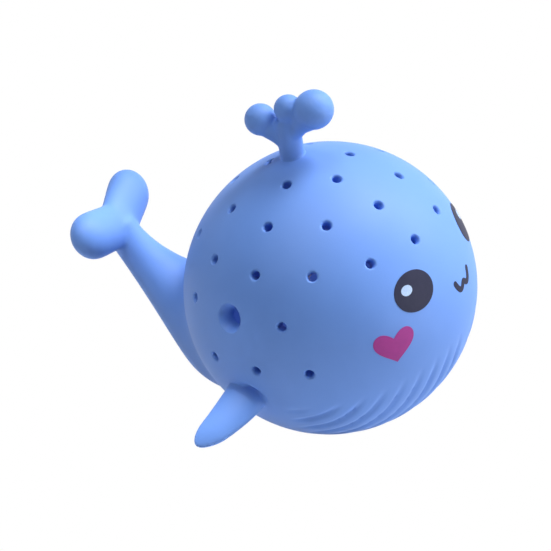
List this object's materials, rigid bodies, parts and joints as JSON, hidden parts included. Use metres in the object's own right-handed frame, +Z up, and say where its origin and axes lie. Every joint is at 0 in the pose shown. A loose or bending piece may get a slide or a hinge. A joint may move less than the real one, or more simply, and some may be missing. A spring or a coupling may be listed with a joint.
{
  "type": "squishy whale toy",
  "caption": "Palm-size hollow soft rubber whale with a round vented body, side flippers, a bending tail with puffy flukes, a fan-shaped spout and a printed face",
  "frame": {"origin": "centre of the flat belly that the whale rests on", "axes": "+Z up, -Y the way the face looks, +X the whale's left; the nose is tipped up as in the picture"},
  "size_m": [0.0824, 0.0909, 0.08],
  "materials": {
    "soft_blue_rubber": "soft matte blue, moulded in one colour",
    "dark_ink": "matt blackish ink film",
    "pale_ink": "matt pale blue-white ink film",
    "pink_ink": "matt pink-purple ink film"
  },
  "bodies": {
    "shell": {"body_shell": "soft_blue_rubber", "tail_root": "soft_blue_rubber", "mouth": "dark_ink"},
    "tail": {"tail_stock": "soft_blue_rubber", "left_fluke": "soft_blue_rubber", "right_fluke": "soft_blue_rubber"},
    "spout": {"spout_stem": "soft_blue_rubber", "spout_front_lobe": "soft_blue_rubber", "spout_middle_lobe": "soft_blue_rubber", "spout_back_lobe": "soft_blue_rubber"},
    "right_flank": {"right_eye": "dark_ink", "right_eye_glint": "pale_ink", "right_heart": "pink_ink"},
    "left_flank": {"left_eye": "dark_ink", "left_eye_glint": "pale_ink", "left_heart": "pink_ink"},
    "right_flipper": {"right_flipper": "soft_blue_rubber"},
    "left_flipper": {"left_flipper": "soft_blue_rubber"}
  },
  "joints": [
    {"name": "tail_bend", "type": "hinge", "parent": "shell", "child": "tail", "pos_m": [0, 0.03987, 0.02228], "axis": [1, 0, 0], "range_deg": [-22, 22], "stiffness_Nm_per_rad": 0.06},
    {"name": "spout_bend", "type": "hinge", "parent": "shell", "child": "spout", "pos_m": [0, 0.00935, 0.06388], "axis": [1, 0, 0], "range_deg": [-20, 20], "stiffness_Nm_per_rad": 0.03},
    {"name": "right_squeeze", "type": "slide", "parent": "shell", "child": "right_flank", "axis": [1, 0, 0], "range_m": [0, 0.0055], "stiffness_N_per_m": 400, "deforming": ["body_shell"]},
    {"name": "left_squeeze", "type": "slide", "parent": "shell", "child": "left_flank", "axis": [-1, 0, 0], "range_m": [0, 0.0055], "stiffness_N_per_m": 400},
    {"name": "right_flipper_bend", "type": "hinge", "parent": "right_flank", "child": "right_flipper", "pos_m": [-0.03062, 0.00758, 0.01896], "axis": [0.1827, 0.9687, 0.1683], "range_deg": [-20, 20], "stiffness_Nm_per_rad": 0.01},
    {"name": "left_flipper_bend", "type": "hinge", "parent": "left_flank", "child": "left_flipper", "pos_m": [0.03062, 0.00758, 0.01896], "axis": [0.1827, -0.9687, -0.1683], "range_deg": [-20, 20], "stiffness_Nm_per_rad": 0.01}
  ],
  "couplings": [
    {"joint": "left_squeeze", "follows": "right_squeeze", "ratio": 1}
  ]
}
